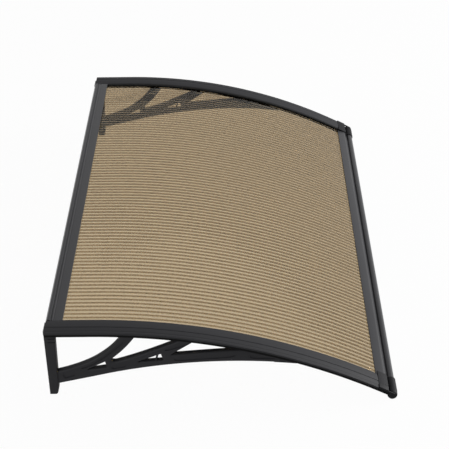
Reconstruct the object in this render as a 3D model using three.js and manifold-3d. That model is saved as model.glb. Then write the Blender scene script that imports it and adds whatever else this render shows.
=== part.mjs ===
// Polycarbonate door canopy: a curved hollow sheet in a charcoal frame on two wall brackets.
// Millimetres, +Z up. X runs along the wall, the wall is the plane y = 0 and the canopy
// reaches out towards -Y. The origin is on the rear rail's wall face, at mid width, level
// with the top face of the sheet.
//
// Most pieces follow the bent sheet, so they are drawn flat first: s is the distance along
// the sheet from the wall, h is the height above its top face. surfacePoint() bends a flat
// drawing into place, and every piece bends at the same stations, so that they nest.

import * as THREE from 'three';
import { mergeVertices } from 'three/addons/utils/BufferGeometryUtils.js';
import Module from 'manifold-3d';

const wasm = await Module();
wasm.setup();

const degree = Math.PI / 180;

// Overall
const canopyWidth = 1000;       // over the outer edges of the cover strips
const canopyDepth = 620.5;      // from the wall to the front of the front rail
const clearance = 0.3;          // between pieces that touch
const weld = 0.5;               // how far joined bodies of one piece reach into each other

// Sheet
const sheetThickness = 5;
const sheetSkin = 0.7;          // upper and lower wall
const sheetRib = 0.7;           // wall between two flutes
const flutePitch = 10.85;
const sheetSideGap = 4.4;       // from the sheet's edge to the cover strip's screw channel
const sheetEndGap = 0.6;        // from the sheet's ends to the rails
const bendRadius = 1065;        // of the sheet's top face
const bendAngle = 28.4 * degree;

// Seals
const sealThickness = 2.4;
const sealWidth = 8;
const lowerSealWidth = 5.6;

// Cover strips
const stripWidth = 40;
const stripPlate = 2.3;
const stripCrown = 1.5;
const stripLip = 2.2;           // wall of the outer lip
const lipDrop = 0.2;            // lip's lower edge, below the sheet's top face
const lineWidth = 2.4;          // groove along the outer half of the strip
const lineDepth = 0.7;
const channelWall = 2;          // ribs of the screw channel under the strip
const channelRoof = 4;          // strip left above the screw channel

// Rails
const railPlate = 2;            // top flange
const railFoot = 2.4;           // lower flange, as thick as the lower seal
const railWeb = 2.6;
const railEdge = 0.8;           // chamfer
const rearFootMargin = 1;       // rear rail's lower flange, past the screw's head
const rearOverhang = 2.7;       // rear rail's top flange, past its lower flange
const ridgeStart = 3.4;         // ridge along the wall edge of the rear rail
const ridgeWidth = 5.2;
const ridgeHeight = 1.4;
const ridgeFoot = 0.6;          // top of the upright wall face, above the sheet's top face
const ribWidth = 2.6;           // lower rib beside the ridge
const ribHeight = 0.6;
const railGroove = 2;           // grooves on both sides of that rib
const frontFlangeStart = -0.5;  // front rail, from the end of the bend
const frontFlangeLength = 18;
const frontFootStart = 0;
const frontWeb = 3;             // from the sheet's channel to the front of the flange
const grooveDepth = 3.4;
const grooveWidth = 8.8;
const beadRadius = 6;
const beadHeight = -1;
const noseRadius = 6.4;
const noseHeight = -1.4;
const noseWall = 1.8;

// Corner caps over the ends of the front rail
const capLength = 29.4;         // from the end of the front rail
const capWall = 1.6;
const capNose = 7;              // length of the round end
const capPlugLength = 22;
const capPlugGap = 0.8;         // round the plug, in the rail's chamber

// Brackets
const bracketInset = stripWidth / 2;   // middle plane of the bracket, from the canopy's side
const seatThickness = 3;
const seatOut = 5;              // seat's edges, from the bracket's middle plane
const seatIn = 16;
const seatMargin = 0.5;         // seat's front end, past the last screw's head
const armThickness = 13;
const legThickness = 17;
const legDepth = 17;
const legBottom = -139;
const legFootDepth = 11;        // depth of the leg at its foot
const legTaper = 24;            // height of the leg's tapered foot
const pocketDepth = 3;
const collarHeights = [-15.5, -23.5];   // grooves round the top of the leg
const collarWidth = 1.8;
const collarDepth = 0.9;
const wallHoleHeights = [-46, -129];
const wallHoleRadius = 3;
const counterboreRadius = 5.5;
const counterboreFloor = 11;    // material left between the wall and the counterbore

// Side view of the bracket, drawn flat as [s, h], and the strip screws' places along the sheet.
// Past the leg the drawing is stretched, to put its last screw at its place from the strip's end.
const drawing = {
  armRoot: [0, -118.8],
  armTip: [454, -11],
  firstGap: { top: 138.5, bend: [108, -68], foot: -93 },
  firstWindow: { tip: [58, -92], high: [105.6, -67.7], low: [109.3, -83.9] },
  secondGap: {
    start: 159, end: 245, lowBend: [182, -53.9], low: [121, -74.6],
    corner: [108.5, -77], high: [116, -62], highBend: [139.8, -43],
  },
  secondWindow: { tip: [152, -72.9], high: [208.7, -44.8], low: [216.3, -61.8] },
  thirdGap: {
    start: 263.5, end: 366, lowBend: [297, -32.6], low: [228, -48.5],
    corner: [216.5, -52], high: [225, -45.6],
  },
  pockets: [
    { from: [27, -101], bend: [38, -97.5], to: [48, -94], width: [13, 11] },
    { from: [62, -84.5], bend: [98.5, -72], to: [141.5, -22.5], width: [5, 7] },
    { from: [116, -82.5], bend: [131, -79], to: [144, -75.5], width: [8, 9] },
    { from: [215, -36.5], bend: [233, -27.5], to: [250, -18], width: [5, 7] },
    { from: [233, -55.5], bend: [290, -42.5], to: [342, -26], width: [8, 10] },
    { from: [367, -21], bend: [390, -18.5], to: [412, -15.7], width: [12, 3] },
  ],
  stripScrews: [70, 179, 311, 509, 575],
};
const { armRoot, armTip, firstGap, firstWindow, secondGap, secondWindow, thirdGap } = drawing;
const windowRound = 0.12;       // share of a window's side that its round corner takes

// Self-tapping screws, driven from below
const screwRadius = 2.1;
const screwPoint = 2.5;
const screwTipGap = 1.9;        // from the tip to the roof of the screw channel
const headRadius = 4;
const headHeight = 2.4;
const screwHoleGap = 0.5;
const rearScrewMargin = 3;      // from the leg to the rear screw's head
const frontScrewMargin = 1;     // from the edge of the front rail's foot to the screw's head
const lastScrewBack = 32.1;     // from the cover strip's end to its last screw

// Facets
const bendSteps = 8;
const crownSteps = 3;
const arcSteps = 5;
const capSteps = 4;
const domeSides = 12;
const edgeSteps = 7;            // long curved edges of the bracket
const cornerSteps = 3;
const pocketSteps = 4;
const headSteps = 3;
const screwSides = 8;
const holeSides = 12;

// Heights above the sheet's top face
const plateUnder = sealThickness + 2 * clearance;
const stripTop = plateUnder + stripPlate;
const stripOuterTop = stripTop - stripCrown / 2;
const railTop = plateUnder + railPlate;
const footTop = -sheetThickness - clearance;
const footUnder = footTop - railFoot;
const seatTop = footUnder - clearance;
const seatUnder = seatTop - seatThickness;
const seatMiddle = (seatTop + seatUnder) / 2;
const channelTop = stripTop + stripCrown - channelRoof;
const screwFoot = seatUnder - clearance;
const screwLength = channelTop - screwTipGap - screwFoot;

// Front rail, measured from the end of the bend
const flangeFront = frontFlangeStart + frontFlangeLength;
const frontChannelEnd = flangeFront - frontWeb;
const grooveFloor = railTop - grooveDepth;
const beadAt = flangeFront + grooveWidth + beadRadius;
const noseAt = beadAt + beadRadius - noseRadius;
const chamberRadius = noseRadius - noseWall;

// Places along the sheet
const halfWidth = canopyWidth / 2;
const bendDepth = bendRadius * Math.sin(bendAngle);
const noseReach = beadAt * Math.cos(bendAngle) + beadHeight * Math.sin(bendAngle) + beadRadius;
const flatLength = canopyDepth - bendDepth - noseReach;
const bendEnd = flatLength + bendRadius * bendAngle;
const rearScrew = legDepth + rearScrewMargin + headRadius;
const rearFootEnd = rearScrew + headRadius + rearFootMargin;
const rearRailDepth = rearFootEnd + rearOverhang;
const stripStart = legDepth + clearance;
const stripEnd = bendEnd + frontFlangeStart - clearance;
const sheetEnd = bendEnd + frontChannelEnd - sheetEndGap;
const frontScrew = frontFootStart + frontScrewMargin + headRadius;
const seatEnd = bendEnd + frontScrew + headRadius + seatMargin;
const lastScrew = drawing.stripScrews.at(-1);
const stretch = (stripEnd - lastScrewBack - legDepth) / (lastScrew - legDepth);
const stripScrews = drawing.stripScrews.map(stretched);

// Places across the canopy, on its left side
const bracketMiddle = -halfWidth + bracketInset;
const channelHalf = screwRadius + screwHoleGap;
const channelOutside = channelHalf + channelWall;
const sheetHalf = -bracketMiddle - channelOutside - sheetSideGap;
const seatOuter = bracketMiddle - seatOut;
const seatInner = bracketMiddle + seatIn;
const legOuter = bracketMiddle - legThickness / 2;
const capEnd = -halfWidth;
const capNoseStart = capEnd + capNose;
const frontRailEnd = seatOuter;

const charcoal = { color: 0x3b3c3e, roughness: 0.55, metalness: 0.25 };
const bracketBlack = { color: 0x2c2d2f, roughness: 0.6, metalness: 0 };
const bronze = { color: 0xb39b74, roughness: 0.25, metalness: 0, transparent: true, opacity: 0.8 };
const rubberBlack = { color: 0x141414, roughness: 0.85, metalness: 0 };
const zinc = { color: 0x8b8d90, roughness: 0.4, metalness: 0.9 };

const canopy = new THREE.Group();
canopy.name = 'door_canopy';

function addPiece(name, geometry, finish) {
  const piece = new THREE.Mesh(geometry, new THREE.MeshStandardMaterial(finish));
  piece.name = name;
  canopy.add(piece);
  return piece;
}

// The bent line of the sheet's top face: distance out from the wall, height and tilt.
function bendPoint(s) {
  const angle = THREE.MathUtils.clamp((s - flatLength) / bendRadius, 0, bendAngle);
  const tail = Math.max(s - bendEnd, 0);
  const head = Math.min(s, flatLength);
  return {
    s,
    p: head + bendRadius * Math.sin(angle) + tail * Math.cos(bendAngle),
    z: bendRadius * (Math.cos(angle) - 1) - tail * Math.sin(bendAngle),
    tilt: angle,
  };
}

const stations = [bendPoint(0)];
for (let k = 0; k <= bendSteps; k += 1) {
  stations.push(bendPoint(flatLength + (bendEnd - flatLength) * k / bendSteps));
}
stations.push(bendPoint(bendEnd + beadAt));

function offsetPoint(station, h) {
  return {
    p: station.p + h * Math.sin(station.tilt),
    z: station.z + h * Math.cos(station.tilt),
  };
}

function surfacePoint(s, h) {
  let k = 0;
  while (k < stations.length - 2 && s > stations[k + 1].s) k += 1;
  const share = (s - stations[k].s) / (stations[k + 1].s - stations[k].s);
  const a = offsetPoint(stations[k], h);
  const b = offsetPoint(stations[k + 1], h);
  return new THREE.Vector2(
    THREE.MathUtils.lerp(a.p, b.p, share),
    THREE.MathUtils.lerp(a.z, b.z, share),
  );
}

function stopsBetween(from, to) {
  const inner = stations.map((station) => station.s).filter((s) => s > from && s < to);
  return [from, ...inner, to];
}

// A section drawn as (x, h), carried along the bent sheet.
function sweep(section, from, to) {
  const stops = stopsBetween(from, to);
  const steps = stops.length - 1;
  const options = { depth: steps, steps, bevelEnabled: false, curveSegments: crownSteps };
  const geometry = new THREE.ExtrudeGeometry(section, options);
  const position = geometry.attributes.position;
  for (let i = 0; i < position.count; i += 1) {
    const spot = surfacePoint(stops[Math.round(position.getZ(i))], position.getY(i));
    position.setXYZ(i, position.getX(i), -spot.x, spot.y);
  }
  return geometry;
}

// A side view drawn as (distance out from the wall, height), extruded along X.
function extrudeAcross(shape, from, to, curveSegments = arcSteps) {
  const options = { depth: to - from, bevelEnabled: false, curveSegments };
  const geometry = new THREE.ExtrudeGeometry(shape, options);
  turnAcross(geometry);
  geometry.translate(to, 0, 0);
  return geometry;
}

function turnAcross(geometry) {
  const outward = new THREE.Vector3(0, -1, 0);
  const upward = new THREE.Vector3(0, 0, 1);
  const along = new THREE.Vector3(-1, 0, 0);
  geometry.applyMatrix4(new THREE.Matrix4().makeBasis(outward, upward, along));
}

function polygon(points) {
  return new THREE.Shape(points.map(([x, y]) => new THREE.Vector2(x, y)));
}

function rectangle(x0, x1, y0, y1) {
  return polygon([[x0, y0], [x1, y0], [x1, y1], [x0, y1]]);
}

function mergedGeometry(geometry) {
  const bare = geometry.clone();
  bare.deleteAttribute('normal');
  bare.deleteAttribute('uv');
  return mergeVertices(bare, 1e-4);
}

function solid(geometry) {
  const merged = mergedGeometry(geometry);
  const vertProperties = new Float32Array(merged.attributes.position.array);
  const triVerts = new Uint32Array(merged.index.array);
  return new wasm.Manifold(new wasm.Mesh({ numProp: 3, vertProperties, triVerts }));
}

function geometryOf(body) {
  const mesh = body.getMesh();
  const geometry = new THREE.BufferGeometry();
  geometry.setAttribute('position', new THREE.BufferAttribute(mesh.vertProperties, 3));
  geometry.setIndex(new THREE.BufferAttribute(mesh.triVerts, 1));
  return geometry;
}

function mirrored(geometry) {
  const copy = mergedGeometry(geometry);
  copy.scale(-1, 1, 1);
  const index = copy.index;
  for (let i = 0; i < index.count; i += 3) {
    const second = index.getX(i + 1);
    index.setX(i + 1, index.getX(i + 2));
    index.setX(i + 2, second);
  }
  return copy;
}

function addPair(name, geometry, finish) {
  addPiece(`${name}_left`, geometry, finish);
  addPiece(`${name}_right`, mirrored(geometry), finish);
}

// Hollow sheet: a bent slab with a row of flutes cut through it from end to end.
function panelGeometry() {
  const start = railWeb + sheetEndGap;
  let body = solid(sweep(rectangle(-sheetHalf, sheetHalf, -sheetThickness, 0), start, sheetEnd));
  const count = Math.floor((2 * sheetHalf - sheetRib) / flutePitch);
  const fluteHalf = (flutePitch - sheetRib) / 2;
  for (let k = 0; k < count; k += 1) {
    const x = (k - (count - 1) / 2) * flutePitch;
    const flute = rectangle(x - fluteHalf, x + fluteHalf, sheetSkin - sheetThickness, -sheetSkin);
    body = body.subtract(solid(sweep(flute, start - weld, sheetEnd + weld)));
  }
  return geometryOf(body);
}

// Cover strip: crowned plate with a lip outside and a screw channel under its middle.
function stripSection() {
  const outer = -halfWidth;
  const inner = outer + stripWidth;
  const middle = bracketMiddle;
  const rib = channelOutside;
  const crown = stripTop + stripCrown;
  const section = new THREE.Shape();
  section.moveTo(outer, -lipDrop);
  section.lineTo(outer + stripLip, -lipDrop);
  section.lineTo(outer + stripLip, plateUnder);
  section.lineTo(middle - rib, plateUnder);
  section.lineTo(middle - rib, footUnder);
  section.lineTo(middle - channelHalf, footUnder);
  section.lineTo(middle - channelHalf, channelTop);
  section.lineTo(middle + channelHalf, channelTop);
  section.lineTo(middle + channelHalf, footUnder);
  section.lineTo(middle + rib, footUnder);
  section.lineTo(middle + rib, plateUnder);
  section.lineTo(inner, plateUnder);
  section.lineTo(inner, stripTop);
  section.quadraticCurveTo((inner + middle) / 2, crown, middle, crown);
  section.quadraticCurveTo((outer + middle) / 2, crown, outer, stripOuterTop);
  return section;
}

// Groove along the strip, half way between its crown and its outer edge.
function lineSection() {
  const middle = (bracketMiddle - halfWidth) / 2;
  const crown = stripTop + stripCrown;
  const surface = crown - (crown - stripOuterTop) / 4;
  const half = lineWidth / 2;
  return polygon([
    [middle - half, surface + weld],
    [middle - half / 2, surface - lineDepth],
    [middle + half / 2, surface - lineDepth],
    [middle + half, surface + weld],
  ]);
}

// The cover strip runs back over the rear rail's foot to the leg, without its screw channel.
function stripGeometry() {
  const overFoot = rectangle(0, rearFootEnd + clearance, footUnder - weld, plateUnder);
  const outside = channelOutside + weld;
  const cut = extrudeAcross(overFoot, bracketMiddle - outside, bracketMiddle + outside);
  const line = sweep(lineSection(), stripStart - weld, stripEnd + weld);
  const body = solid(sweep(stripSection(), stripStart, stripEnd));
  return geometryOf(body.subtract(solid(cut)).subtract(solid(line)));
}

// Rear rail: a channel for the sheet with a ridge and a rib along the wall. At its ends the
// top flange makes room for the cover strips and runs on over the legs.
function rearRailGeometry() {
  const ridgeTop = railTop + ridgeHeight;
  const ridgeEnd = ridgeStart + ridgeWidth;
  const ribStart = ridgeEnd + railGroove;
  const ribEnd = ribStart + ribWidth;
  const flatStart = ribEnd + railGroove;
  const grooveFoot = railTop - railEdge / 2;
  const ribTop = railTop + ribHeight;
  const ease = railEdge / 2;
  const section = polygon([
    [0, footUnder],
    [rearFootEnd, footUnder],
    [rearFootEnd, footTop],
    [railWeb, footTop],
    [railWeb, ridgeFoot],
    [ridgeStart + railWeb, plateUnder],
    [rearRailDepth, plateUnder],
    [rearRailDepth, railTop - railEdge],
    [rearRailDepth - railEdge, railTop],
    [flatStart, railTop],
    [flatStart - ease, grooveFoot],
    [ribEnd + ease, grooveFoot],
    [ribEnd - ease, ribTop],
    [ribStart + ease, ribTop],
    [ribStart - ease, grooveFoot],
    [ridgeEnd + ease, grooveFoot],
    [ridgeEnd - ease, ridgeTop],
    [ridgeStart + ease, ridgeTop],
    [ridgeStart, ridgeTop - ease],
    [0, ridgeFoot],
  ]);
  let body = solid(extrudeAcross(section, -halfWidth, halfWidth));
  const atStrip = rectangle(legDepth, rearRailDepth + weld, 0, ridgeTop);
  const underFlange = rectangle(-weld, rearRailDepth + weld, footUnder - weld, plateUnder);
  const past = -halfWidth - weld;
  const cuts = [
    extrudeAcross(atStrip, past, -halfWidth + stripWidth + clearance),
    extrudeAcross(underFlange, past, legOuter),
  ];
  const hole = screwHole(footTop, footUnder);
  hole.translate(bracketMiddle, -rearScrew, 0);
  cuts.push(hole);
  for (const cut of cuts) body = body.subtract(solid(cut)).subtract(solid(mirrored(cut)));
  return geometryOf(body);
}

// Upright hole for a screw's shank through a wall between two heights.
function screwHole(top, under) {
  const radius = channelHalf / Math.cos(Math.PI / screwSides);
  const hole = new THREE.CylinderGeometry(radius, radius, top - under + 2 * weld, screwSides);
  hole.rotateX(Math.PI / 2);
  hole.translate(0, 0, (top + under) / 2);
  return hole;
}

// The front of the front rail, from its flange over the groove and the bead and round the
// nose to its underside. The corner caps follow it at a distance.
function traceFront(path, grow) {
  const top = railTop + grow;
  const front = flangeFront + grow;
  const floor = grooveFloor + grow;
  const bead = beadRadius + grow;
  const nose = noseRadius + grow;
  const beadStart = Math.PI - Math.asin((floor - beadHeight) / bead);
  const noseEnd = Math.asin((noseHeight - footUnder + grow) / nose) - Math.PI;
  path.lineTo(front - railEdge, top);
  path.lineTo(front, top - railEdge);
  path.lineTo(front, floor);
  path.absarc(beadAt, beadHeight, bead, beadStart, 0, true);
  path.absarc(noseAt, noseHeight, nose, 0, noseEnd, true);
}

function frontRailGeometry() {
  const section = new THREE.Shape();
  section.moveTo(frontFlangeStart, plateUnder);
  section.lineTo(frontFlangeStart, railTop - railEdge);
  section.lineTo(frontFlangeStart + railEdge, railTop);
  traceFront(section, 0);
  section.lineTo(frontFootStart, footUnder);
  section.lineTo(frontFootStart, footTop);
  section.lineTo(frontChannelEnd, footTop);
  section.lineTo(frontChannelEnd, plateUnder);

  const chamber = new THREE.Path();
  const back = frontChannelEnd + railWeb;
  const roof = grooveFloor - noseWall;
  const floor = footUnder + noseWall;
  const inside = beadRadius - noseWall;
  const floorTurn = Math.asin((noseHeight - floor) / chamberRadius) - Math.PI;
  const roofTurn = Math.PI - Math.asin((roof - beadHeight) / inside);
  chamber.moveTo(back, roof);
  chamber.lineTo(back, floor);
  chamber.absarc(noseAt, noseHeight, chamberRadius, floorTurn, 0, false);
  chamber.absarc(beadAt, beadHeight, inside, 0, roofTurn, false);
  section.holes.push(chamber);

  const body = solid(extrudeAcross(section, frontRailEnd, -frontRailEnd));
  const hole = screwHole(footTop, footUnder);
  hole.translate(bracketMiddle, -frontScrew, 0);
  return geometryOf(body.subtract(solid(hole)).subtract(solid(mirrored(hole))));
}

// Corner cap: a sleeve over the end of the front rail, with a flat tongue that runs on to the
// canopy's side, a round end on the nose and a plug in the rail's chamber.
function cornerCapGeometry() {
  const grow = clearance + capWall;
  const railTopGap = railTop + clearance;
  const inside = frontRailEnd + capLength;
  const cavityEnd = frontRailEnd - clearance;
  const shellEnd = cavityEnd - capWall;

  const shell = new THREE.Shape();
  shell.moveTo(frontFlangeStart, railTopGap);
  shell.lineTo(frontFlangeStart, railTop + grow - railEdge);
  shell.lineTo(frontFlangeStart + railEdge, railTop + grow);
  traceFront(shell, grow);
  shell.lineTo(frontChannelEnd, plateUnder);
  shell.lineTo(frontChannelEnd, railTopGap);

  const cavity = new THREE.Shape();
  cavity.moveTo(frontFootStart, footUnder - clearance);
  cavity.lineTo(frontFlangeStart - weld, railTopGap);
  traceFront(cavity, clearance);

  const front = flangeFront + grow;
  const tongue = polygon([
    [frontFlangeStart, plateUnder],
    [front, plateUnder],
    [front, railTop + grow - railEdge],
    [front - railEdge, railTop + grow],
    [frontFlangeStart + railEdge, railTop + grow],
    [frontFlangeStart, railTop + grow - railEdge],
  ]);

  const radius = noseRadius + grow - weld / 2;
  const dome = curvePoints([0, capNose], [radius, capNose], [radius, 0], capSteps);
  const foot = capNoseStart - shellEnd - weld;
  const outline = [...dome, [radius, foot], [0, foot]];
  const round = new THREE.LatheGeometry(
    outline.reverse().map(([r, y]) => new THREE.Vector2(r, y)),
    domeSides,
  );
  round.rotateZ(Math.PI / 2);
  round.translate(capNoseStart, -noseAt, noseHeight);

  const plug = new THREE.Shape();
  plug.absarc(noseAt, noseHeight, chamberRadius - capPlugGap, 0, 2 * Math.PI, false);

  const body = solid(extrudeAcross(shell, shellEnd, inside, capSteps))
    .add(solid(extrudeAcross(tongue, capEnd, cavityEnd)))
    .add(solid(round))
    .subtract(solid(extrudeAcross(cavity, cavityEnd, inside + weld, capSteps)))
    .add(solid(extrudeAcross(plug, cavityEnd - weld, frontRailEnd + capPlugLength)));
  return geometryOf(body);
}

// Place along the sheet of what is in the drawing.
function stretched(s) {
  return s > legDepth ? legDepth + (s - legDepth) * stretch : s;
}

function stretchedPoints(points) {
  return points.map(([s, h]) => [stretched(s), h]);
}

// Bends a flat side view, given as [s, h] points, into (distance out, height).
function bent(points) {
  return points.map(([s, h]) => surfacePoint(s, h));
}

function curvePoints(from, bend, to, count) {
  const ends = [from, bend, to].map(([s, h]) => new THREE.Vector2(s, h));
  const curve = new THREE.QuadraticBezierCurve(...ends);
  return curve.getPoints(count).map((point) => [point.x, point.y]);
}

function seatRun(from, to, h) {
  return stopsBetween(from, to).map((s) => [s, h]);
}

// Triangular window with round corners.
function windowPoints({ tip, high, low }) {
  const corners = [tip, high, low];
  return corners.flatMap((corner, k) => {
    const before = corners[(k + 2) % 3];
    const after = corners[(k + 1) % 3];
    const ease = (end) => corner.map((value, axis) => value + (end[axis] - value) * windowRound);
    return curvePoints(ease(before), corner, ease(after), cornerSteps);
  });
}

// Pocket in the bracket's side: a ribbon of changing width along a curve.
function pocketPoints({ from, bend, to, width }) {
  const line = curvePoints(from, bend, to, pocketSteps);
  const sides = [[], []];
  line.forEach(([s, h], k) => {
    const [s0, h0] = line[Math.max(k - 1, 0)];
    const [s1, h1] = line[Math.min(k + 1, line.length - 1)];
    const length = Math.hypot(s1 - s0, h1 - h0);
    const half = THREE.MathUtils.lerp(width[0], width[1], k / (line.length - 1)) / 2;
    const across = [-(h1 - h0) / length * half, (s1 - s0) / length * half];
    sides[0].push([s + across[0], h + across[1]]);
    sides[1].unshift([s - across[0], h - across[1]]);
  });
  return [...sides[0], ...sides[1]];
}

// Arms of the bracket, as one plate with the gaps and windows cut out.
function armShape() {
  const inLeg = legDepth / 2;
  const slope = (armTip[1] - armRoot[1]) / (stretched(armTip[0]) - armRoot[0]);
  const underside = (s) => [s, armRoot[1] + slope * (s - armRoot[0])];
  const wedge = armRoot[0] + (seatMiddle - armRoot[1]) / slope;
  const shape = new THREE.Shape(bent([
    ...seatRun(inLeg, wedge, seatMiddle).reverse(),
    ...seatRun(inLeg, wedge - weld, seatMiddle).map(([s]) => underside(s)),
  ]));

  const gapTop = seatUnder + weld;
  const legFront = legDepth - weld;
  const gaps = [
    [
      ...seatRun(legFront, stretched(firstGap.top), gapTop),
      ...stretchedPoints([
        ...curvePoints([firstGap.top, seatUnder], firstGap.bend, [legDepth, firstGap.foot], edgeSteps),
        [legFront, firstGap.foot],
      ]),
    ],
    [
      ...seatRun(stretched(secondGap.start), stretched(secondGap.end), gapTop),
      ...stretchedPoints([
        ...curvePoints([secondGap.end, seatUnder], secondGap.lowBend, secondGap.low, edgeSteps),
        ...curvePoints(secondGap.low, secondGap.corner, secondGap.high, cornerSteps).slice(1, -1),
        ...curvePoints(secondGap.high, secondGap.highBend, [secondGap.start, seatUnder], edgeSteps),
      ]),
    ],
    [
      ...seatRun(stretched(thirdGap.start), stretched(thirdGap.end), gapTop),
      ...stretchedPoints([
        ...curvePoints([thirdGap.end, seatUnder], thirdGap.lowBend, thirdGap.low, edgeSteps),
        ...curvePoints(thirdGap.low, thirdGap.corner, thirdGap.high, cornerSteps).slice(1),
        [thirdGap.start, seatUnder],
      ]),
    ],
    stretchedPoints(windowPoints(firstWindow)),
    stretchedPoints(windowPoints(secondWindow)),
  ];
  shape.holes = gaps.map((points) => new THREE.Path(bent(points)));
  return shape;
}

function legShape() {
  const shape = new THREE.Shape();
  shape.moveTo(0, seatMiddle);
  shape.lineTo(legDepth, seatMiddle);
  shape.lineTo(legDepth, legBottom + legTaper);
  shape.quadraticCurveTo(legDepth, legBottom, legFootDepth, legBottom);
  shape.lineTo(0, legBottom);
  return shape;
}

// Groove round the three open sides of the leg.
function collarGroove(height) {
  const open = legThickness / 2 + weld;
  const core = legThickness / 2 - collarDepth;
  const front = -legDepth - weld;
  const coreFront = collarDepth - legDepth;
  const ring = polygon([
    [-open, 0], [-open, front], [open, front], [open, 0],
    [core, 0], [core, coreFront], [-core, coreFront], [-core, 0],
  ]);
  const groove = new THREE.ExtrudeGeometry(ring, { depth: collarWidth, bevelEnabled: false });
  groove.translate(bracketMiddle, 0, height - collarWidth / 2);
  return solid(groove);
}

// Hole for a wall screw through the leg, with a wider seat for its head.
function wallHole(height) {
  const bore = new THREE.CylinderGeometry(wallHoleRadius, wallHoleRadius, 2 * legDepth, holeSides);
  bore.translate(bracketMiddle, -legDepth + weld, height);
  const seat = new THREE.CylinderGeometry(counterboreRadius, counterboreRadius, legDepth, holeSides);
  seat.translate(bracketMiddle, -counterboreFloor - legDepth / 2, height);
  return solid(bore).add(solid(seat));
}

function bracketGeometry() {
  const half = armThickness / 2;
  const legHalf = legThickness / 2;
  const seat = rectangle(seatOuter, seatInner, seatUnder, seatTop);
  let body = solid(extrudeAcross(armShape(), bracketMiddle - half, bracketMiddle + half));
  for (const pocket of drawing.pockets) {
    const shape = new THREE.Shape(bent(stretchedPoints(pocketPoints(pocket))));
    for (const side of [-1, 1]) {
      const floor = bracketMiddle + side * (half - pocketDepth);
      const open = bracketMiddle + side * (half + weld);
      const cut = extrudeAcross(shape, Math.min(floor, open), Math.max(floor, open));
      body = body.subtract(solid(cut));
    }
  }
  body = body
    .add(solid(extrudeAcross(legShape(), bracketMiddle - legHalf, bracketMiddle + legHalf)))
    .add(solid(sweep(seat, 0, seatEnd)));
  for (const height of collarHeights) body = body.subtract(collarGroove(height));
  for (const height of wallHoleHeights) body = body.subtract(wallHole(height));
  for (const s of [rearScrew, ...stripScrews, bendEnd + frontScrew]) {
    const hole = screwHole(seatTop, seatUnder);
    placeOnSheet(hole, s);
    body = body.subtract(solid(hole));
  }
  return geometryOf(body);
}

// Puts a shape that was drawn upright, with its height as h, on the bent sheet over the bracket.
function placeOnSheet(geometry, s) {
  const foot = surfacePoint(s, 0);
  geometry.rotateX(bendPoint(s).tilt);
  geometry.translate(bracketMiddle, -foot.x, foot.y);
}

// Pan-head screw along +Y, with the underside of its head at the origin.
function screwGeometry() {
  const profile = [
    ...curvePoints([0, -headHeight], [headRadius, -headHeight], [headRadius, 0], headSteps),
    [screwRadius, 0],
    [screwRadius, screwLength - screwPoint],
    [0, screwLength],
  ];
  const points = profile.map(([r, y]) => new THREE.Vector2(r, y));
  return new THREE.LatheGeometry(points, screwSides);
}

function addScrew(name, side, s) {
  const screw = addPiece(name, screwGeometry(), zinc);
  const tilt = bendPoint(s).tilt;
  const foot = surfacePoint(s, 0);
  const out = foot.x + screwFoot * Math.sin(tilt);
  const height = foot.y + screwFoot * Math.cos(tilt);
  screw.position.set(-side * bracketMiddle, -out, height);
  screw.rotation.x = Math.PI / 2 + tilt;
}

function onFrontRail(piece) {
  const end = surfacePoint(bendEnd, 0);
  piece.position.set(0, -end.x, end.y);
  piece.rotation.x = bendAngle;
}

addPiece('panel', panelGeometry(), bronze);

addPair('bracket', bracketGeometry(), bracketBlack);
addPair('cover_strip', stripGeometry(), charcoal);
addPiece('rear_rail', rearRailGeometry(), charcoal);
onFrontRail(addPiece('front_rail', frontRailGeometry(), charcoal));

const cap = cornerCapGeometry();
onFrontRail(addPiece('corner_cap_left', cap, bracketBlack));
onFrontRail(addPiece('corner_cap_right', mirrored(cap), bracketBlack));

// Seals: over the sheet under both rails and both strips, and under the sheet on the seats.
const sealTop = clearance + sealThickness;
const crossHalf = sheetHalf - clearance;
const rearSealEnd = rearRailDepth - railEdge;
const rearSeal = rectangle(rearSealEnd - sealWidth, rearSealEnd, clearance, sealTop);
addPiece('rear_seal', extrudeAcross(rearSeal, -crossHalf, crossHalf), rubberBlack);

const frontSealStart = frontFlangeStart + railEdge;
const frontSeal = rectangle(frontSealStart, frontSealStart + sealWidth, clearance, sealTop);
onFrontRail(addPiece('front_seal', extrudeAcross(frontSeal, -crossHalf, crossHalf), rubberBlack));

const upperSealInner = -halfWidth + stripWidth - railEdge;
const upperSeal = rectangle(upperSealInner - sealWidth, upperSealInner, clearance, sealTop);
const upperSealStart = rearRailDepth + clearance;
addPair('upper_seal', sweep(upperSeal, upperSealStart, stripEnd), rubberBlack);

const lowerSealInner = seatInner - clearance;
const lowerSeal = rectangle(lowerSealInner - lowerSealWidth, lowerSealInner, footUnder, footTop);
const lowerSealStart = rearFootEnd + clearance;
const lowerSealEnd = bendEnd + frontFootStart - clearance;
addPair('lower_seal', sweep(lowerSeal, lowerSealStart, lowerSealEnd), rubberBlack);

for (const [name, side] of [['left', -1], ['right', 1]]) {
  stripScrews.forEach((s, k) => addScrew(`strip_screw_${name}_${k + 1}`, side, s));
  addScrew(`rear_rail_screw_${name}`, side, rearScrew);
  addScrew(`front_rail_screw_${name}`, side, bendEnd + frontScrew);
}

export default canopy;
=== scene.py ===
"""Polycarbonate door canopy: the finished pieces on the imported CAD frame, in metres.

X runs along the wall, the wall is the plane y = 0 and the canopy reaches out towards -Y.
Sections of what follows the sheet are drawn upright at the wall: across the canopy as x and up
as z, with z = 0 at the top face of the sheet. They are then pushed out along the flat stretch
and spun round the bend. Side views are drawn as the distance out from the wall and the height.
"""

import math

import bmesh
import bpy
from mathutils import Matrix, Vector
from mathutils.geometry import interpolate_bezier


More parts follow.
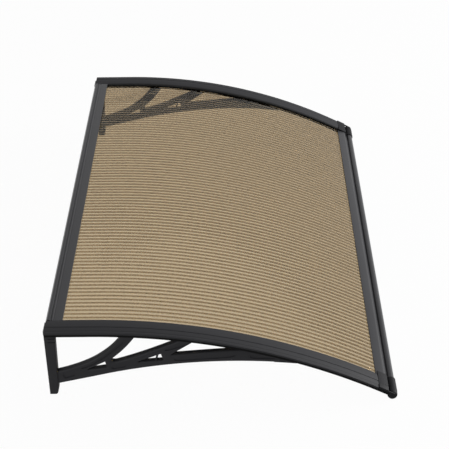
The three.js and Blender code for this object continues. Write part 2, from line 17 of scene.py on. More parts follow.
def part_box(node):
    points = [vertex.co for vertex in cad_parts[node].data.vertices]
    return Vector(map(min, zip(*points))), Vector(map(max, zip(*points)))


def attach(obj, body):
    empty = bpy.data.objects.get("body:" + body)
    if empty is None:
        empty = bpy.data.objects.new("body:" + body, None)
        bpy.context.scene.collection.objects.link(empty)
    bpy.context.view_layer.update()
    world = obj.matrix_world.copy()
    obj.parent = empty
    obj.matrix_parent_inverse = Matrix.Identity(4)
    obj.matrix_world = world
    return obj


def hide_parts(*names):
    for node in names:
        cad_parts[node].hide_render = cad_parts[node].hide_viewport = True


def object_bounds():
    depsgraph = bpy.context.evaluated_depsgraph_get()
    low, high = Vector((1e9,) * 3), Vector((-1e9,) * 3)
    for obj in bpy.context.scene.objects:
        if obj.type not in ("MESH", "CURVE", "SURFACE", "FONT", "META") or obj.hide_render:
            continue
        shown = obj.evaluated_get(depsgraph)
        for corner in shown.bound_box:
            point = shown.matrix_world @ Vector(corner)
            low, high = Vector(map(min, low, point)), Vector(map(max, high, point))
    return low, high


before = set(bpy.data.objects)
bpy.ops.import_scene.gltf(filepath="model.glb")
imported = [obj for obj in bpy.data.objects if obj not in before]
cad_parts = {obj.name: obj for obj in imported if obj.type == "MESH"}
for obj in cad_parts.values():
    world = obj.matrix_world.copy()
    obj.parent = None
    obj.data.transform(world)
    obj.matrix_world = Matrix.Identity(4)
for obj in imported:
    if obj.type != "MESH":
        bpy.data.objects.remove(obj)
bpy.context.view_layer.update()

MM = 0.001
CLEARANCE = 0.3 * MM

# Distances under which points become one: in a drawn line, in a finished piece, before a cut
LINE_WELD = 1e-6
PIECE_WELD = 2e-6
CUT_WELD = 5e-6

# Sheet
SHEET_THICKNESS = 5 * MM
SHEET_SKIN = 0.55 * MM
SHEET_RIB = 1.0 * MM
SHEET_DIP = 0.06 * MM
SHEET_HALF = 475 * MM
SHEET_END_GAP = 0.6 * MM
FLUTE_PITCH = 10.85 * MM
BEND_RADIUS = 1065 * MM
BEND_ANGLE = math.radians(28.2)
BEND_STEPS = 36

# Heights above the top face of the sheet
PLATE_UNDER = 3.0 * MM
STRIP_TOP = 5.3 * MM
STRIP_CROWN = 1.5 * MM
RAIL_TOP = 5.0 * MM
LIP_UNDER = 1.4 * MM
# Lower edge of the near-black band under the strips' lips, which is painted shade
SHADE_BAND_UNDER = -3.4 * MM
FOOT_TOP = -5.3 * MM
FOOT_UNDER = -7.7 * MM
SEAT_TOP = -8.0 * MM
SEAT_UNDER = -11.0 * MM
SCREW_FOOT = -11.3 * MM
SEAL_UNDER = 0.3 * MM
SEAL_TOP = 2.7 * MM

# Cover strips
STRIP_START = 3.4 * MM
STRIP_LIP = 2.2 * MM
STRIP_GROOVES = ((5, 0.9 * MM), (18, 0.4 * MM))
GROOVE_HALF = 1.6 * MM
# Near-black band under the strips' lips, painted shade in place of the shadow there: its reach past
# the bend, insets and foot
SHADE_BAND_PAST_BEND = 22 * MM
SHADE_BAND_TOP_INSET = 0.2 * MM
SHADE_BAND_FOOT_INSET = 0.9 * MM
SHADE_BAND_FOOT_WIDTH = 1.0 * MM
CHANNEL_HALF = 2.6 * MM
CHANNEL_WALL = 2.0 * MM

# Rear rail
REAR_FOOT_END = 29.0 * MM
RAIL_OFF_WALL = 1.3 * MM
RIDGE_FOOT = 0.6 * MM
RIDGE_START = 4.7 * MM
RIDGE_WIDTH = 5.2 * MM
RIDGE_HEIGHT = 1.4 * MM
RIB_WIDTH = 2.6 * MM
RIB_HEIGHT = 0.6 * MM
RAIL_GROOVE = 2.0 * MM

# Front rail and its caps, out from the end of the bend
FRONT_FLANGE = (-2.0 * MM, 16.4 * MM)
FLANGE_LIP = 0.3 * MM
FLANGE_EDGE = 2.0 * MM
FLANGE_SLOPE = 15.0 * MM
FLANGE_WEDGE = 10.0 * MM
FRONT_FOOT_START = 5.6 * MM
FRONT_PAD_START = 0.0
FRONT_CHANNEL_END = 14.5 * MM
FRONT_RAIL_HALF = 485 * MM
GROOVE_FLOOR = -0.6 * MM
BEAD_AT = 31.5 * MM
BEAD_HEIGHT = -1.6 * MM
BEAD_RADIUS = 7.0 * MM
NOSE_AT = 31.9 * MM
NOSE_HEIGHT = -1.6 * MM
NOSE_RADIUS = 6.6 * MM
NOSE_WALL = 1.8 * MM
RAIL_WEB = 2.6 * MM
CAP_WALL = 1.6 * MM
CAP_LENGTH = 29.4 * MM
CAP_NOSE = 7.0 * MM
CAP_ROUND = 9.1 * MM
CAP_ROUND_AT = 31.0 * MM
CAP_ROUND_HEIGHT = -1.9 * MM

# Seals
SEAL_WIDTH = 8.0 * MM
LOWER_SEAL_WIDTH = 3.4 * MM
SEAL_INSET = 0.8 * MM
SEAL_HALF = 470.7 * MM
LIP_REACH = 2.5 * MM
LIP_TOP = 4.8 * MM

# Brackets
SEAT_OUT = 5.0 * MM
SEAT_IN = 8.5 * MM
SEAT_PAST_BEND = 9.5 * MM
ARM_THICKNESS = 13 * MM
ARM_RIM = 4.0 * MM
ARM_SPREAD = 2.0 * MM
TIP_RIM = 0.8 * MM
POCKET_DEPTH = 1.2 * MM
LEG_THICKNESS = 17 * MM
LEG_DEPTH = 17 * MM
LEG_TOP_DEPTH = 19.5 * MM
LEG_PLATE = 6 * MM
LEG_RIM = 1.8 * MM
LEG_TOP = -9.5 * MM
LEG_BOTTOM = -141.6 * MM
LEG_FOOT_DEPTH = 11 * MM
LEG_TAPER = 24 * MM
COLLAR_HEIGHTS = (-15.5 * MM, -23.5 * MM)
COLLAR_HALF = 1.1 * MM
COLLAR_DEPTH = 1.3 * MM
WALL_HOLE_HEIGHTS = (-46 * MM, -129 * MM)
WALL_HOLE_RADIUS = 3 * MM
WALL_HEAD_RADIUS = 5.5 * MM
WALL_HEAD_SEAT = 11 * MM
WALL_PIN = (-1 * MM, 18 * MM)

# Screws, as distances along the sheet from the wall or from the end of the bend
STRIP_SCREWS_REAR = (70 * MM, 179 * MM, 311 * MM)
STRIP_SCREWS_FRONT = (-98.9 * MM, -32.9 * MM)
REAR_SCREW = 24 * MM
FRONT_SCREW = 5 * MM
SCREW_RADIUS = 2.1 * MM
SCREW_LENGTH = 12.2 * MM
SCREW_POINT = 2.5 * MM
HEAD_RADIUS = 4 * MM
HEAD_HEIGHT = 2.4 * MM
RECESS_ARM = 2.1 * MM
RECESS_HALF = 0.45 * MM
RECESS_DEPTH = 1.4 * MM
RECESS_PAST_HEAD = 0.5 * MM

# Bracket's side view in millimetres, drawn on the flat sheet: distance along it and height
ARM_TOP = -10.2
ARM_ROOT = (8.5, -119.0)
ARM_ROOT_TOP = -93
ARM_TIP = (460, -11)
BLUNT_END = 420
TIP_LAP = 6
TIP_DROP = 2.4
ARM_UPPER_EDGE = ((366, ARM_TOP), (297, -32.6), (240, -45.7))
SECOND_FORK = ((240, -45.7), (219.7, -50.4), (263.5, ARM_TOP))
SECOND_BRANCH_TOP = ((263.5, ARM_TOP), (254, ARM_TOP))
SECOND_BRANCH_BACK = ((245, ARM_TOP), (182, -52.4), (126, -70.8))
FIRST_FORK = ((126, -70.8), (113, -73.5), (116, -62))
FIRST_BRANCH_FRONT = ((116, -62), (139.8, -43), (159, ARM_TOP))
FIRST_BRANCH_TOP = (149, ARM_TOP)
FIRST_BRANCH_BACK = ((138.5, ARM_TOP), (108, -68), (LEG_DEPTH / MM, ARM_ROOT_TOP))
FIRST_WINDOW = ((58, -92), (105.6, -67.7), (109.3, -83.9))
SECOND_WINDOW = ((152, -72.9), (208.7, -44.8), (216.3, -61.8))
WINDOW_RIB = ((199.5, -66), (201.5, -56), (203.5, -46), 3, 3)
CORNER_ROUND = 2.5
POCKETS = (
    ((27, -101), (38, -97.5), (48, -94), 13, 11),
    ((60, -84), (96.5, -70.5), (140, -21.5), 4, 6),
    ((116, -82.5), (131, -79), (144, -75.5), 8, 9),
    ((215, -36.5), (233, -27.5), (250, -18), 5, 7),
    ((233, -55.5), (290, -42.5), (342, -26), 8, 10),
    ((367, -21), (390, -18.5), (412, -15.7), 12, 3),
)

# Places that the frame gives
_, panel_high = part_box("panel")
strip_low, strip_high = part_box("cover_strip_left")
rear_low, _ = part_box("rear_rail")
front_low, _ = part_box("front_rail")

CANOPY_SIDE = strip_low.x
STRIP_INNER = strip_high.x
STRIP_MIDDLE = (CANOPY_SIDE + STRIP_INNER) / 2
STRIP_EDGE = STRIP_INNER - LIP_REACH - CLEARANCE
PANEL_START = -panel_high.y
REAR_DEPTH = -rear_low.y

front_reach = BEAD_AT * math.cos(BEND_ANGLE) + BEAD_HEIGHT * math.sin(BEND_ANGLE) + BEAD_RADIUS
FLAT_LENGTH = -front_low.y - BEND_RADIUS * math.sin(BEND_ANGLE) - front_reach
BEND_END = FLAT_LENGTH + BEND_RADIUS * BEND_ANGLE
BEND_CENTRE = Vector((0, -FLAT_LENGTH, -BEND_RADIUS))
TAIL_WAY = Vector((0, -math.cos(BEND_ANGLE), -math.sin(BEND_ANGLE)))
STRIP_END = BEND_END + FRONT_FLANGE[0] - CLEARANCE


def sheet_tilt(along):
    """How far the sheet is bent at a distance along it."""
    return min(max((along - FLAT_LENGTH) / BEND_RADIUS, 0), BEND_ANGLE)


def on_sheet(along, height):
    """Distance out from the wall and height of a point that was drawn on the flat sheet."""
    tilt = sheet_tilt(along)
    tail = max(along - BEND_END, 0)
    reach = BEND_RADIUS + height
    out = min(along, FLAT_LENGTH) + reach * math.sin(tilt) + tail * math.cos(tilt)
    return out, reach * math.cos(tilt) - BEND_RADIUS - tail * math.sin(tilt)


def sheet_frame(x, along, height):
    """Moves a shape that was drawn upright at the origin to its place on the bent sheet."""
    out, up = on_sheet(along, height)
    return Matrix.Translation((x, -out, up)) @ Matrix.Rotation(sheet_tilt(along), 4, "X")


TO_FRONT = sheet_frame(0, BEND_END, 0)

# Turns a side view that was drawn in the ground plane upright, out from the wall.
SIDE_VIEW = Matrix(((0, 0, -1, 0), (-1, 0, 0, 0), (0, 1, 0, 0), (0, 0, 0, 1)))


# Drawing and shaping


class Outline:
    """A closed line in the plane of two axes, drawn by a moving pen."""

    def __init__(self, bm, place, start, soft=0):
        self.bm = bm
        self.place = place
        self.first = bm.verts.new(place(*start))
        self.tip = self.first
        self.corners = {soft: [self.first]}

    def line(self, *points, soft=0):
        for point in points:
            made = bmesh.ops.extrude_vert_indiv(self.bm, verts=[self.tip])
            self.tip = made["verts"][0]
            self.tip.co = self.place(*point)
            self.corners.setdefault(soft, []).append(self.tip)
        return self

    def arc(self, centre, degrees, steps):
        across = self.place(1, 0) - self.place(0, 0)
        upward = self.place(0, 1) - self.place(0, 0)
        made = bmesh.ops.spin(
            self.bm,
            geom=[self.tip],
            cent=self.place(*centre),
            axis=across.cross(upward),
            angle=math.radians(degrees),
            steps=steps,
        )
        self.tip = [v for v in made["geom_last"] if isinstance(v, bmesh.types.BMVert)][0]
        return self

    def close(self):
        self.bm.edges.new((self.tip, self.first))
        for soft, verts in self.corners.items():
            if soft:
                bmesh.ops.bevel(
                    self.bm,
                    geom=verts,
                    offset=soft,
                    offset_type="OFFSET",
                    affect="VERTICES",
                    segments=3,
                    profile=0.5,
                    material=-1,
                    clamp_overlap=True,
                )
        return self


def at_wall(x, z):
    return Vector((x, 0, z))


def out_from_wall(out, z):
    return Vector((0, -out, z))


def bow(start, handle, end, steps):
    """Points of a curve from start to end that leans towards the handle."""
    start, handle, end = (Vector((*point, 0)) for point in (start, handle, end))
    share = 2 / 3
    points = interpolate_bezier(
        start, start.lerp(handle, share), end.lerp(handle, share), end, steps + 1
    )
    return [(point.x, point.y) for point in points]


def fill(bm):
    """Fills the outlines in the mesh, the inner ones as holes."""
    bmesh.ops.remove_doubles(bm, verts=bm.verts[:], dist=LINE_WELD)
    bmesh.ops.triangle_fill(bm, edges=bm.edges[:], use_beauty=True)


def cover(bm):
    """Fills the one outline in the mesh with a single face."""
    bmesh.ops.remove_doubles(bm, verts=bm.verts[:], dist=LINE_WELD)
    bmesh.ops.contextual_create(bm, geom=bm.edges[:])


def push(bm, faces, way):
    """Extrudes faces along a way and gives the moved ones back."""
    edges = list({e for f in faces for e in f.edges})
    made = bmesh.ops.extrude_face_region(bm, geom=faces + edges)["geom"]
    moved = [v for v in made if isinstance(v, bmesh.types.BMVert)]
    bmesh.ops.translate(bm, verts=moved, vec=way)
    return [f for f in made if isinstance(f, bmesh.types.BMFace)]


def across_canopy(bm, start, end):
    """Pushes the side view in the mesh along the wall, from start to end."""
    bmesh.ops.translate(bm, verts=bm.verts[:], vec=(start, 0, 0))
    push(bm, bm.faces[:], (end - start, 0, 0))


def bend(bm, faces, angle, steps):
    """Spins faces round the sheet's bend and gives the last ones back."""
    edges = list({e for f in faces for e in f.edges})
    verts = list({v for f in faces for v in f.verts})
    made = bmesh.ops.spin(
        bm, geom=faces + edges + verts, cent=BEND_CENTRE, axis=(1, 0, 0), angle=angle, steps=steps
    )
    return [f for f in made["geom_last"] if isinstance(f, bmesh.types.BMFace)]


def follow_sheet(bm, start, end):
    """Carries the section in the mesh along the sheet, from start to end."""
    bmesh.ops.translate(bm, verts=bm.verts[:], vec=(0, -start, 0))
    faces = push(bm, bm.faces[:], (0, start - FLAT_LENGTH, 0))
    faces = bend(bm, faces, sheet_tilt(end), BEND_STEPS)
    if end > BEND_END:
        push(bm, faces, TAIL_WAY * (end - BEND_END))


def turn_round(bm, centre, axis, steps):
    """Turns the line in the mesh all the way round an axis."""
    bmesh.ops.spin(
        bm,
        geom=bm.verts[:] + bm.edges[:],
        cent=centre,
        axis=axis,
        angle=2 * math.pi,
        steps=steps,
        use_merge=True,
    )
    bmesh.ops.remove_doubles(bm, verts=bm.verts[:], dist=LINE_WELD)
    bmesh.ops.recalc_face_normals(bm, faces=bm.faces[:])


def soften(bm, width, limit=40, segments=2):
    """Rounds the edges that turn by more than the limit, in degrees."""
    turn = math.radians(limit)
    sharp = [e for e in bm.edges if len(e.link_faces) == 2 and e.calc_face_angle() > turn]
    bmesh.ops.bevel(
        bm,
        geom=sharp,
        offset=width,
        offset_type="OFFSET",
        affect="EDGES",
        segments=segments,
        profile=0.5,
        material=-1,
        clamp_overlap=True,
    )


def slice_across(bm, point, normal):
    """Cuts new edges into the mesh where a plane crosses it."""
    geometry = bm.verts[:] + bm.edges[:] + bm.faces[:]
    bmesh.ops.bisect_plane(bm, geom=geometry, plane_co=point, plane_no=normal)


def new_object(name, bm):
    mesh = bpy.data.meshes.new(name)
    bm.to_mesh(mesh)
    bm.free()
    piece = bpy.data.objects.new(name, mesh)
    bpy.context.scene.collection.objects.link(piece)
    return piece


def take_in(bm, other):
    """Adds another mesh to this one as a loose part."""
    mesh = bpy.data.meshes.new("part")
    other.to_mesh(mesh)
    other.free()
    bm.from_mesh(mesh)
    bpy.data.meshes.remove(mesh)


def combine(bm, other, operation):
    """Joins a closed mesh to this one, or cuts it away."""
    for part in (bm, other):
        bmesh.ops.remove_doubles(part, verts=part.verts[:], dist=CUT_WELD)
        bmesh.ops.recalc_face_normals(part, faces=part.faces[:])
    body = new_object("body", bm)
    tool = new_object("tool", other)
    change = body.modifiers.new("change", "BOOLEAN")
    change.operation = operation
    change.solver = "EXACT"
    change.object = tool
    result = bmesh.new()
    result.from_object(body, bpy.context.evaluated_depsgraph_get())
    bmesh.ops.holes_fill(result, edges=[e for e in result.edges if e.is_boundary], sides=6)
    for spare in (body, tool):
        mesh = spare.data
        bpy.data.objects.remove(spare)
        bpy.data.meshes.remove(mesh)
    return result


def mirrored(bm):
    """A copy of the mesh for the other side of the canopy."""
    copy = bm.copy()
    bmesh.ops.scale(copy, vec=(-1, 1, 1), verts=copy.verts[:])
    return copy


def make_piece(name, bm, materials, stands_for, smooth_angle=35):
    """Finishes a mesh as a named piece that stands for a CAD node."""
    bmesh.ops.remove_doubles(bm, verts=bm.verts[:], dist=PIECE_WELD)
    bmesh.ops.recalc_face_normals(bm, faces=bm.faces[:])
    limit = math.radians(smooth_angle)
    for face in bm.faces:
        face.smooth = True
    for edge in bm.edges:
        edge.smooth = len(edge.link_faces) == 2 and edge.calc_face_angle() < limit
    piece = new_object(name, bm)
    for material in materials:
        piece.data.materials.append(material)
    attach(piece, "root")
    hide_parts(stands_for)


def make_pair(name, bm, materials, stands_for):
    """Makes the left piece and, as its mirror image, the right one."""
    other = mirrored(bm)
    make_piece(f"{name}_left", bm, materials, f"{stands_for}_left")
    make_piece(f"{name}_right", other, materials, f"{stands_for}_right")


# Materials


def new_material(name):
    material = bpy.data.materials.new(name)
    material.use_nodes = True
    tree = material.node_tree
    return material, tree, tree.nodes["Principled BSDF"]


def srgb(red, green, blue):
    """A colour given in screen levels, as the shader needs it."""
    def linear(value):
        value /= 255
        return value / 12.92 if value <= 0.04045 else ((value + 0.055) / 1.055) ** 2.4

    return (linear(red), linear(green), linear(blue), 1)


def add_node(tree, kind, **values):
    node = tree.nodes.new(kind)
    for key, value in values.items():
        setattr(node, key, value)
    return node


def grain_group():
    """Fine raised grain of a coated or moulded surface, with slow drifts of tone."""
    group = bpy.data.node_groups.new("surface_grain", "ShaderNodeTree")
    face = group.interface
    face.new_socket("Dark", in_out="INPUT", socket_type="NodeSocketColor")
    face.new_socket("Light", in_out="INPUT", socket_type="NodeSocketColor")
    face.new_socket("Grain Scale", in_out="INPUT", socket_type="NodeSocketFloat")
    face.new_socket("Smooth", in_out="INPUT", socket_type="NodeSocketFloat")
    face.new_socket("Rough", in_out="INPUT", socket_type="NodeSocketFloat")
    face.new_socket("Color", in_out="OUTPUT", socket_type="NodeSocketColor")
    face.new_socket("Roughness", in_out="OUTPUT", socket_type="NodeSocketFloat")
    face.new_socket("Height", in_out="OUTPUT", socket_type="NodeSocketFloat")
    inside = add_node(group, "NodeGroupInput")
    outside = add_node(group, "NodeGroupOutput")
    place = add_node(group, "ShaderNodeTexCoord")
    drift = add_node(group, "ShaderNodeTexNoise")
    drift.inputs["Scale"].default_value = 9
    drift.inputs["Detail"].default_value = 4
    grain = add_node(group, "ShaderNodeTexNoise")
    grain.inputs["Detail"].default_value = 2
    tone = add_node(group, "ShaderNodeMix", data_type="RGBA")
    blend = add_node(group, "ShaderNodeMath", operation="MULTIPLY_ADD")
    blend.inputs[1].default_value = 0.6
    rough = add_node(group, "ShaderNodeMapRange")
    part = add_node(group, "ShaderNodeMath", operation="MULTIPLY")
    part.inputs[1].default_value = 0.4
    link = group.links.new
    link(place.outputs["Object"], drift.inputs["Vector"])
    link(place.outputs["Object"], grain.inputs["Vector"])
    link(inside.outputs["Grain Scale"], grain.inputs["Scale"])
    link(grain.outputs["Fac"], part.inputs[0])
    link(drift.outputs["Fac"], blend.inputs[0])
    link(part.outputs[0], blend.inputs[2])
    link(blend.outputs[0], tone.inputs["Factor"])
    link(inside.outputs["Dark"], tone.inputs["A"])
    link(inside.outputs["Light"], tone.inputs["B"])
    link(tone.outputs["Result"], outside.inputs["Color"])
    link(drift.outputs["Fac"], rough.inputs["Value"])
    link(inside.outputs["Smooth"], rough.inputs["To Min"])
    link(inside.outputs["Rough"], rough.inputs["To Max"])
    link(rough.outputs["Result"], outside.inputs["Roughness"])
    link(grain.outputs["Fac"], outside.inputs["Height"])
    return group


surface_grain = grain_group()


def grained_material(name, dark, light, scale, roughness, depth, gloss=0.3, metallic=0):
    """A coated, moulded or plated finish between two tones, with a fine grain."""
    material, tree, shader = new_material(name)
    grain = add_node(tree, "ShaderNodeGroup", node_tree=surface_grain)
    grain.inputs["Dark"].default_value = srgb(*dark)
    grain.inputs["Light"].default_value = srgb(*light)
    grain.inputs["Grain Scale"].default_value = scale
    grain.inputs["Smooth"].default_value = roughness[0]
    grain.inputs["Rough"].default_value = roughness[1]
    bump = add_node(tree, "ShaderNodeBump")
    bump.inputs["Strength"].default_value = 0.35
    bump.inputs["Distance"].default_value = depth
    link = tree.links.new
    link(grain.outputs["Color"], shader.inputs["Base Color"])
    link(grain.outputs["Roughness"], shader.inputs["Roughness"])
    link(grain.outputs["Height"], bump.inputs["Height"])
    link(bump.outputs["Normal"], shader.inputs["Normal"])
    shader.inputs["Specular IOR Level"].default_value = gloss
    shader.inputs["Metallic"].default_value = metallic
    return material


charcoal_coat = grained_material(
    "charcoal_coat", (32, 32, 34), (42, 42, 44), 1400, (0.27, 0.37), 0.1 * MM, gloss=0.2
)
strip_coat = grained_material(
    "strip_coat", (22, 22, 24), (31, 31, 33), 1400, (0.6, 0.72), 0.1 * MM, gloss=0.15
)
black_moulding = grained_material(
    "black_moulding", (26, 26, 28), (36, 36, 38), 900, (0.45, 0.65), 0.15 * MM, gloss=0.12
)
cap_moulding = grained_material(
    "cap_moulding", (13, 13, 15), (20, 20, 22), 900, (0.5, 0.7), 0.15 * MM, gloss=0.08
)
# Near-black colour of the band under the strips' lips: painted shade standing for the shadow there
painted_shade_black = grained_material(
    "painted_shade_black", (8, 8, 8), (16, 16, 16), 600, (0.75, 0.9), 0.2 * MM, gloss=0.05
)
seal_rubber = grained_material(
    "seal_rubber", (20, 20, 20), (28, 28, 28), 600, (0.7, 0.85), 0.2 * MM, gloss=0.1
)
zinc_steel = grained_material(
    "zinc_steel", (150, 152, 156), (196, 198, 200), 1200, (0.25, 0.45), 0.05 * MM, metallic=1
)


def bronze_material(name, dark, light):
    """Tinted clear plastic, with faint drawing lines along the flutes."""
    material, tree, shader = new_material(name)
    place = add_node(tree, "ShaderNodeTexCoord")
    stretch = add_node(tree, "ShaderNodeMapping")
    stretch.inputs["Scale"].default_value = (260, 0.4, 0.4)
    streaks = add_node(tree, "ShaderNodeTexNoise")
    streaks.inputs["Scale"].default_value = 1
    streaks.inputs["Detail"].default_value = 3
    tone = add_node(tree, "ShaderNodeMix", data_type="RGBA")
    tone.inputs["A"].default_value = dark
    tone.inputs["B"].default_value = light
    rough = add_node(tree, "ShaderNodeMapRange")
    rough.inputs["To Min"].default_value = 0.03
    rough.inputs["To Max"].default_value = 0.07
    bump = add_node(tree, "ShaderNodeBump")
    bump.inputs["Strength"].default_value = 0.12
    bump.inputs["Distance"].default_value = 0.2 * MM
    link = tree.links.new
    link(place.outputs["Object"], stretch.inputs["Vector"])
    link(stretch.outputs["Vector"], streaks.inputs["Vector"])
    link(streaks.outputs["Fac"], tone.inputs["Factor"])
    link(streaks.outputs["Fac"], rough.inputs["Value"])
    link(streaks.outputs["Fac"], bump.inputs["Height"])
    link(tone.outputs["Result"], shader.inputs["Base Color"])
    link(rough.outputs["Result"], shader.inputs["Roughness"])
    link(bump.outputs["Normal"], shader.inputs["Normal"])
    shader.inputs["Transmission Weight"].default_value = 1
    shader.inputs["IOR"].default_value = 1.14
    return material


bronze_skin = bronze_material("bronze_skin", (0.645, 0.576, 0.468, 1), (0.705, 0.636, 0.523, 1))
bronze_rib = bronze_material("bronze_rib", (0.53, 0.455, 0.345, 1), (0.59, 0.515, 0.4, 1))


# Sheet


def hollow_sheet():
    """A slab cut across by planes, with the flutes taken out and the skins sunk between ribs."""
    half = SHEET_HALF
    count = int((2 * panel_high.x - SHEET_RIB) / FLUTE_PITCH)
    first = -count * FLUTE_PITCH / 2
    bm = bmesh.new()
    Outline(bm, at_wall, (-half, 0)).line(
        (half, 0), (half, -SHEET_THICKNESS), (-half, -SHEET_THICKNESS)
    ).close()
    cover(bm)
    slice_across(bm, (0, 0, -SHEET_SKIN), (0, 0, 1))
    slice_across(bm, (0, 0, SHEET_SKIN - SHEET_THICKNESS), (0, 0, 1))
    for k in range(count):
        rib = first + k * FLUTE_PITCH
        for place in (SHEET_RIB / 2, FLUTE_PITCH / 2, FLUTE_PITCH - SHEET_RIB / 2):
            slice_across(bm, (rib + place, 0, 0), (1, 0, 0))
    middle = -SHEET_THICKNESS / 2
    flutes = []
    for face in bm.faces:
        centre = face.calc_center_median()
        width = max(v.co.x for v in face.verts) - min(v.co.x for v in face.verts)
        if abs(centre.z - middle) < SHEET_SKIN and width > 2 * SHEET_RIB:
            flutes.append(face)
    bmesh.ops.delete(bm, geom=flutes, context="FACES")
    for vert in bm.verts:
        share = (vert.co.x - first) / FLUTE_PITCH % 1
        if abs(share - 0.5) < 0.01 and abs(vert.co.x) < -first:
            vert.co.z += SHEET_DIP if vert.co.z < middle else -SHEET_DIP
    follow_sheet(bm, PANEL_START, BEND_END + FRONT_CHANNEL_END - SHEET_END_GAP)
    bm.normal_update()
    for face in bm.faces:
        face.material_index = 1 if abs(face.normal.x) > 0.9 else 0
    make_piece("hollow_sheet", bm, (bronze_skin, bronze_rib), "panel")


hollow_sheet()


# Cover strips


def curved_strips():
    """Crowned, grooved plates with a lip, a near-black band of painted shade under the lip outside
    and a screw channel below.
    """
    outer, inner, middle = CANOPY_SIDE, STRIP_EDGE, STRIP_MIDDLE
    crown = STRIP_TOP + STRIP_CROWN
    outer_top = STRIP_TOP - STRIP_CROWN / 2
    inner_half = bow((inner, STRIP_TOP), ((inner + middle) / 2, crown), (middle, crown), 12)
    outer_half = bow((middle, crown), ((outer + middle) / 2, crown), (outer, outer_top), 24)
    bm = bmesh.new()
    pen = Outline(bm, at_wall, (outer, LIP_UNDER), soft=0.5 * MM)
    pen.line((outer + STRIP_LIP, LIP_UNDER), soft=0.5 * MM)
    pen.line((outer + STRIP_LIP, PLATE_UNDER), (inner, PLATE_UNDER))
    pen.line(inner_half[0], soft=0.6 * MM)
    pen.line(*inner_half[1:])
    drawn = 1
    # Each groove stands for two steps of the curve on either side of its middle.
    for groove, depth in STRIP_GROOVES:
        x, z = outer_half[groove]
        pen.line(*outer_half[drawn : groove - 2])
        pen.line((x + GROOVE_HALF, z), soft=0.3 * MM)
        pen.line((x + GROOVE_HALF / 2, z - depth), (x - GROOVE_HALF / 2, z - depth))
        pen.line((x - GROOVE_HALF, z), soft=0.3 * MM)
        drawn = groove + 3
    pen.line(*outer_half[drawn:-1])
    pen.line(outer_half[-1], soft=0.6 * MM)
    pen.close()
    fill(bm)
    follow_sheet(bm, STRIP_START, STRIP_END)

    # A near-black band under the lip, carried past the bend: painted shade standing for the shadow
    # under the strip's edge.
    shade_band = bmesh.new()
    shade_band_top = LIP_UNDER + CLEARANCE
    shade_band_foot = outer + SHADE_BAND_FOOT_INSET
    shade_band_back = shade_band_foot + SHADE_BAND_FOOT_WIDTH
    Outline(shade_band, at_wall, (outer + SHADE_BAND_TOP_INSET, shade_band_top)).line(
        (shade_band_foot, SHADE_BAND_UNDER), (shade_band_back, SHADE_BAND_UNDER), (shade_band_back, shade_band_top)
    ).close()
    cover(shade_band)
    follow_sheet(shade_band, STRIP_START, BEND_END + SHADE_BAND_PAST_BEND)
    for face in shade_band.faces:
        face.material_index = 1
    take_in(bm, shade_band)
    for side in (-1, 1):
        near = middle + side * CHANNEL_HALF
        far = middle + side * (CHANNEL_HALF + CHANNEL_WALL)
        rib = bmesh.new()
        Outline(rib, at_wall, (near, PLATE_UNDER + CLEARANCE)).line(
            (near, FOOT_UNDER), (far, FOOT_UNDER), (far, PLATE_UNDER + CLEARANCE)
        ).close()
        cover(rib)
        follow_sheet(rib, REAR_FOOT_END + CLEARANCE, STRIP_END)
        take_in(bm, rib)
    make_pair("curved_strip", bm, (strip_coat, painted_shade_black), "cover_strip")


curved_strips()


# Rails and corner caps


def wall_rail():
    """The rear rail: a channel for the sheet with a ridge and a rib along the wall."""
    ease = 0.4 * MM
    ridge_top = RAIL_TOP + RIDGE_HEIGHT
    ridge_end = RIDGE_START + RIDGE_WIDTH
    rib_start = ridge_end + RAIL_GROOVE
    rib_end = rib_start + RIB_WIDTH
    flat_start = rib_end + RAIL_GROOVE
    groove_foot = RAIL_TOP - ease
    rib_top = RAIL_TOP + RIB_HEIGHT
    bm = bmesh.new()
    pen = Outline(bm, out_from_wall, (0, FOOT_UNDER))
    pen.line((REAR_FOOT_END, FOOT_UNDER), (REAR_FOOT_END, FOOT_TOP), soft=0.4 * MM)
    pen.line((RAIL_WEB, FOOT_TOP), (RAIL_WEB, RIDGE_FOOT), (RIDGE_START + RAIL_WEB, PLATE_UNDER))
    pen.line((REAR_DEPTH, PLATE_UNDER), soft=0.3 * MM)
    pen.line((REAR_DEPTH, RAIL_TOP), soft=0.8 * MM)
    pen.line((flat_start, RAIL_TOP), (flat_start - ease, groove_foot), soft=0.2 * MM)
    pen.line((rib_end + ease, groove_foot), (rib_end - ease, rib_top), soft=0.2 * MM)
    pen.line((rib_start + ease, rib_top), (rib_start - ease, groove_foot), soft=0.2 * MM)
    pen.line((ridge_end + ease, groove_foot), soft=0.2 * MM)
    pen.line((ridge_end - ease, ridge_top), (RIDGE_START, ridge_top), soft=0.6 * MM)
    pen.line((RAIL_OFF_WALL, RIDGE_FOOT), soft=0.4 * MM)
    pen.line((0, FOOT_TOP))
    pen.close()
    fill(bm)
    flange_end = -STRIP_EDGE - CLEARANCE
    across_canopy(bm, -flange_end, flange_end)
    leg_side = LEG_THICKNESS / 2 - STRIP_MIDDLE
    for side in (-1, 1):
        stub = bmesh.new()
        Outline(stub, out_from_wall, (0, FOOT_UNDER)).line(
            (REAR_FOOT_END, FOOT_UNDER), (REAR_FOOT_END, FOOT_TOP), (RAIL_WEB, FOOT_TOP)
        ).line((RAIL_WEB, RIDGE_FOOT), (0, RIDGE_FOOT)).close()
        cover(stub)
        across_canopy(stub, side * (flange_end - CLEARANCE), side * leg_side)
        take_in(bm, stub)
    make_piece("wall_rail", bm, (charcoal_coat,), "rear_rail")


wall_rail()


